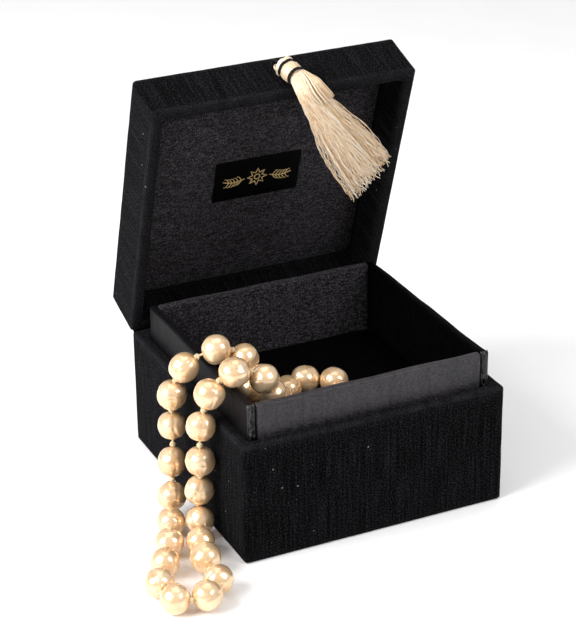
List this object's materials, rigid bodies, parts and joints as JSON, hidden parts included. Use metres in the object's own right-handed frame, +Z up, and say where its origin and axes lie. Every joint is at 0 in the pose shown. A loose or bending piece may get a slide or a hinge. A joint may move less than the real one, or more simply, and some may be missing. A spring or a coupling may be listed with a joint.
{
  "type": "misbaha in hinged presentation box",
  "caption": "Misbaha prayer beads: a knotted strand of golden cream pearls in an open cloth-covered hinged box with satin liner and a tassel on the lid.",
  "frame": {"origin": "middle of the box's underside, on the table", "axes": "+Z up, -Y towards the front of the box, +X to its right; the lid's hinge runs along X at the back"},
  "size_m": [0.1388, 0.1435, 0.1506],
  "materials": {
    "foot_paper": "plain black paper",
    "greyboard": "uncoated pulp board",
    "black_cloth": "velvety black book cloth with fine ribs",
    "black_satin": "black satin with a soft grey sheen",
    "grey_lining": "dark grey woven lining, padded",
    "label_satin": "black satin with a plain gold ornament",
    "black_cord": "black sewing cord",
    "tassel_thread": "champagne metallic thread",
    "silk": "cream silk",
    "pearl": "golden cream nacre"
  },
  "bodies": {
    "base": {"foot_sheet": "foot_paper", "base_bottom_board": "greyboard", "base_wall_front": "greyboard", "base_wall_back": "greyboard", "base_wall_left": "greyboard", "base_wall_right": "greyboard", "base_cover": "black_cloth", "liner_left": "black_satin", "liner_right": "black_satin", "liner_front": "black_satin", "liner_back": "black_satin", "floor_pad": "grey_lining", "hinge_cloth": "black_cloth", "strand_thread": "silk", "strand_knots": "silk", "pearl_01": "pearl", "pearl_02": "pearl", "pearl_03": "pearl", "pearl_04": "pearl", "pearl_05": "pearl", "pearl_06": "pearl", "pearl_07": "pearl", "pearl_08": "pearl", "pearl_09": "pearl", "pearl_10": "pearl", "pearl_11": "pearl", "pearl_12": "pearl", "pearl_13": "pearl", "pearl_14": "pearl", "pearl_15": "pearl", "pearl_16": "pearl", "pearl_17": "pearl", "pearl_18": "pearl", "pearl_19": "pearl", "pearl_20": "pearl", "pearl_21": "pearl", "pearl_22": "pearl", "pearl_23": "pearl", "pearl_24": "pearl", "pearl_25": "pearl", "pearl_26": "pearl", "pearl_27": "pearl", "pearl_28": "pearl", "pearl_29": "pearl", "pearl_30": "pearl", "pearl_31": "pearl", "pearl_32": "pearl", "pearl_33": "pearl"},
    "lid": {"lid_top_board": "greyboard", "lid_wall_front": "greyboard", "lid_wall_back": "greyboard", "lid_wall_left": "greyboard", "lid_wall_right": "greyboard", "lid_cover": "black_cloth", "lid_lining": "grey_lining", "lid_label": "label_satin", "tassel_loop": "black_cord"},
    "tassel": {"tassel_head": "tassel_thread", "tassel_bands": "black_cord"},
    "skirt": {"tassel_skirt": "tassel_thread"}
  },
  "joints": [
    {"name": "lid_hinge", "type": "hinge", "parent": "base", "child": "lid", "pos_m": [0, 0.05, 0.045], "axis": [1, 0, 0], "range_deg": [-40, 45]},
    {"name": "tassel_lift", "type": "hinge", "parent": "lid", "child": "tassel", "pos_m": [0.0011, 0.03019, 0.14582], "axis": [-0.9711, -0.2262, -0.0757], "range_deg": [0, 90]},
    {"name": "skirt_swing", "type": "hinge", "parent": "tassel", "child": "skirt", "pos_m": [0.0043, 0.0134, 0.1412], "axis": [0, -1, 0], "range_deg": [-50, 30]}
  ]
}
